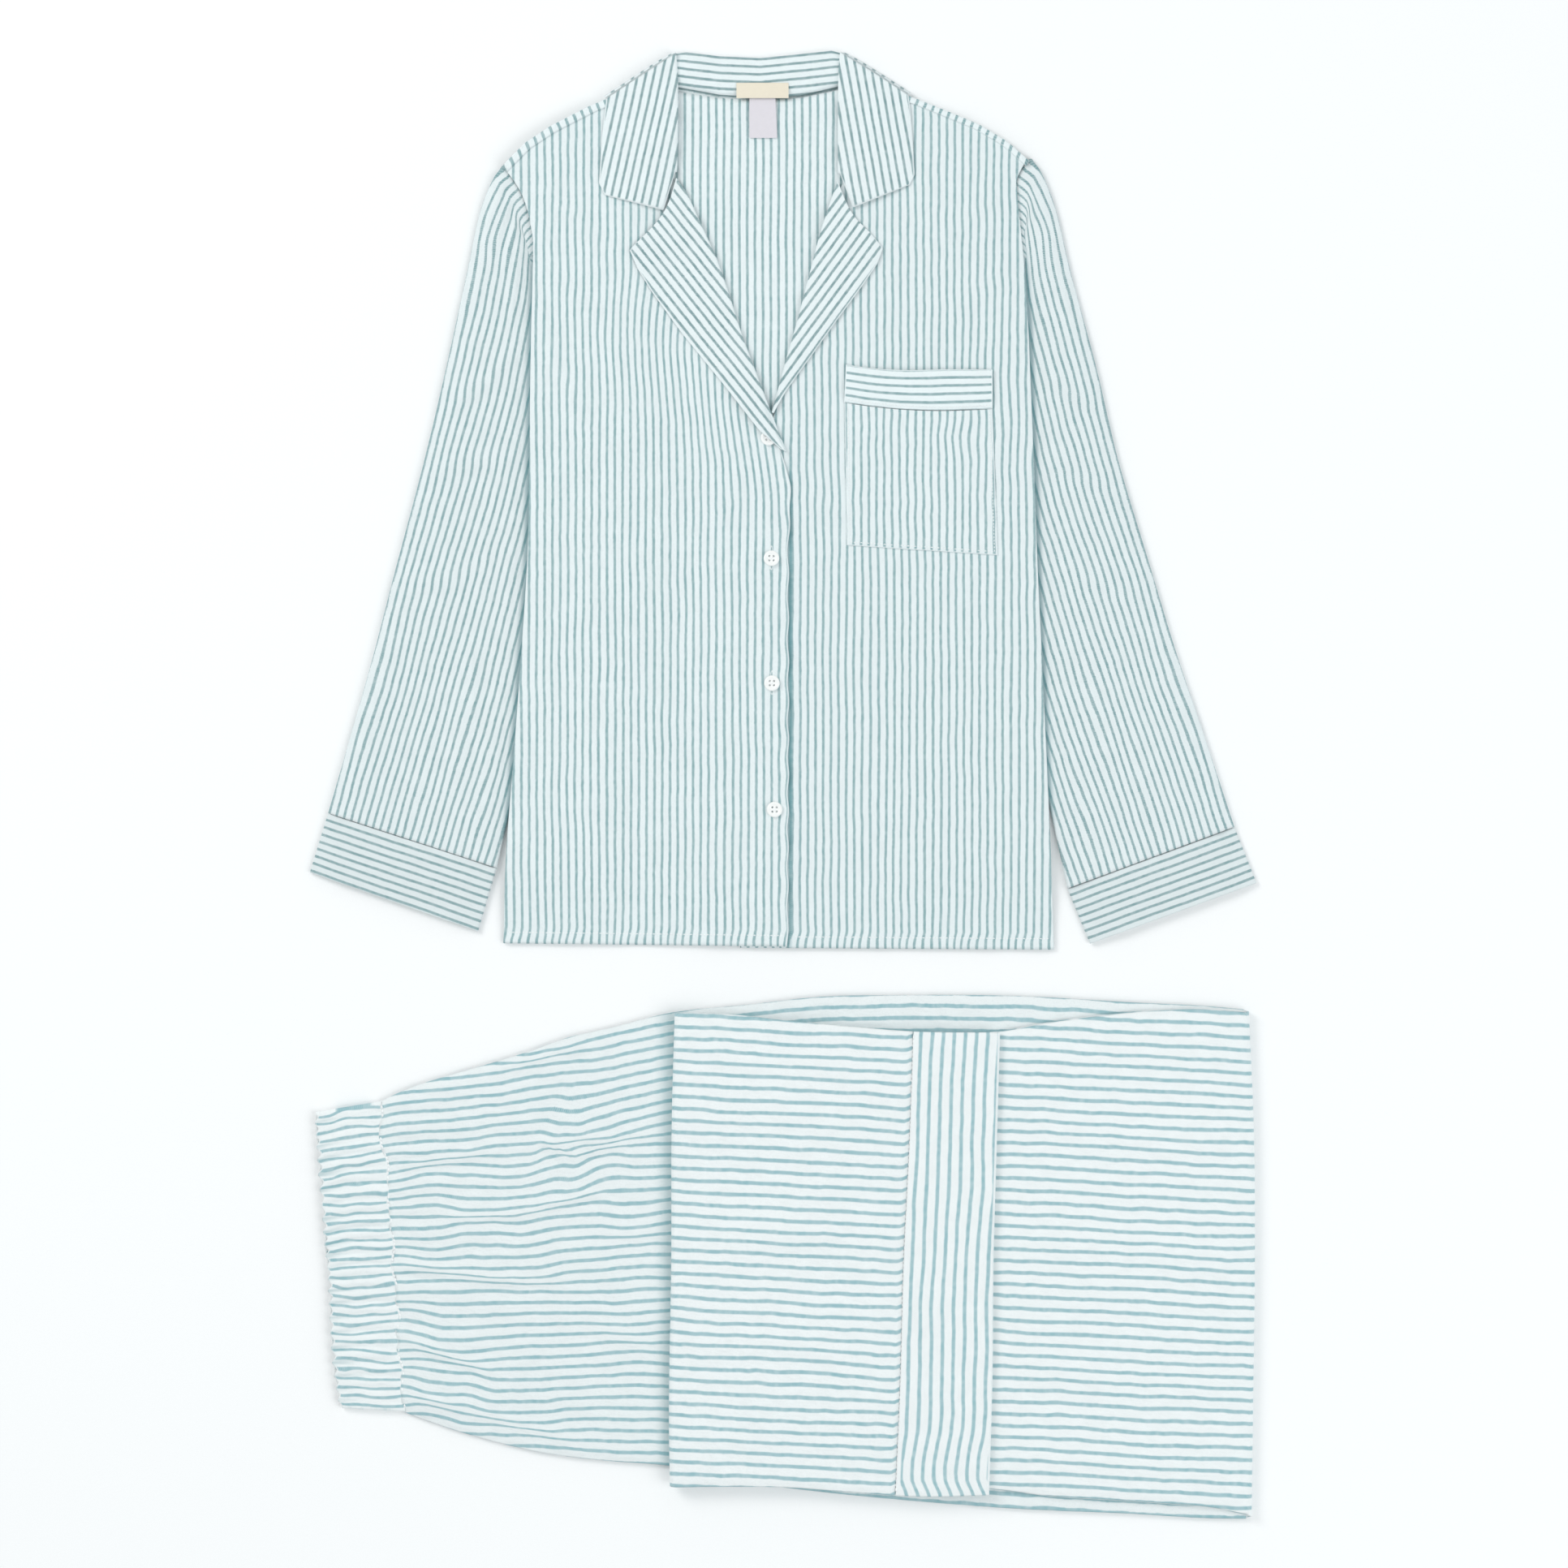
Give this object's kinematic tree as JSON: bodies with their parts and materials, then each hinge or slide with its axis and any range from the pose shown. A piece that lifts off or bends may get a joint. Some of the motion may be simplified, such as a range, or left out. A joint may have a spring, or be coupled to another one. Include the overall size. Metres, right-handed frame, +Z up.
{
  "type": "pyjama set",
  "caption": "Long-sleeved pyjama shirt with notched collar, lapels and chest pocket, laid flat above matching elastic-waist trousers folded in three; crinkled striped cotton.",
  "frame": {"origin": "middle of the set's outline, on the surface it lies on", "axes": "+Z up from the surface, +Y from the trousers towards the shirt's collar, +X towards the wearer's left"},
  "size_m": [0.7318, 1.1388, 0.0134],
  "materials": {
    "back_cotton": "crinkled striped cotton, pale aqua on off-white",
    "left_front_cotton": "crinkled striped cotton, pale aqua on off-white",
    "right_front_cotton": "crinkled striped cotton, pale aqua on off-white",
    "left_facing_cotton": "crinkled striped cotton, pale aqua on off-white",
    "right_facing_cotton": "crinkled striped cotton, pale aqua on off-white",
    "collar_cotton": "crinkled striped cotton, pale aqua on off-white",
    "right_sleeve_cotton": "crinkled striped cotton, pale aqua on off-white",
    "left_sleeve_cotton": "crinkled striped cotton, pale aqua on off-white",
    "right_cuff_cotton": "crinkled striped cotton, pale aqua on off-white",
    "left_cuff_cotton": "crinkled striped cotton, pale aqua on off-white",
    "pocket_cotton": "crinkled striped cotton, pale aqua on off-white",
    "pocket_band_cotton": "crinkled striped cotton, pale aqua on off-white",
    "waistband_cotton": "crinkled striped cotton, pale aqua on off-white",
    "right_leg_cotton": "crinkled striped cotton, pale aqua on off-white",
    "inner_leaf_cotton": "crinkled striped cotton, pale aqua on off-white",
    "left_leg_cotton": "crinkled striped cotton, pale aqua on off-white",
    "hem_band_cotton": "crinkled striped cotton, pale aqua on off-white",
    "cream_tape": "woven tape, bare",
    "white_tape": "satin tape, bare",
    "button_1_resin": "soft gloss white resin",
    "button_2_resin": "soft gloss white resin",
    "button_3_resin": "soft gloss white resin",
    "button_4_resin": "soft gloss white resin"
  },
  "bodies": {
    "root": {"shirt_back": "back_cotton", "shirt_front_left": "left_front_cotton", "shirt_front_right": "right_front_cotton", "shirt_facing_left": "left_facing_cotton", "shirt_facing_right": "right_facing_cotton", "shirt_collar": "collar_cotton", "shirt_sleeve_right": "right_sleeve_cotton", "shirt_sleeve_left": "left_sleeve_cotton", "shirt_cuff_right": "right_cuff_cotton", "shirt_cuff_left": "left_cuff_cotton", "shirt_pocket": "pocket_cotton", "shirt_pocket_band": "pocket_band_cotton", "trousers_waistband": "waistband_cotton", "trousers_leg_right": "right_leg_cotton", "trousers_folded_layers": "inner_leaf_cotton", "trousers_leg_left": "left_leg_cotton", "trousers_hem_band": "hem_band_cotton", "shirt_neck_label": "cream_tape", "shirt_care_label": "white_tape", "shirt_button_1": "button_1_resin", "shirt_button_2": "button_2_resin", "shirt_button_3": "button_3_resin", "shirt_button_4": "button_4_resin"}
  },
  "joints": []
}
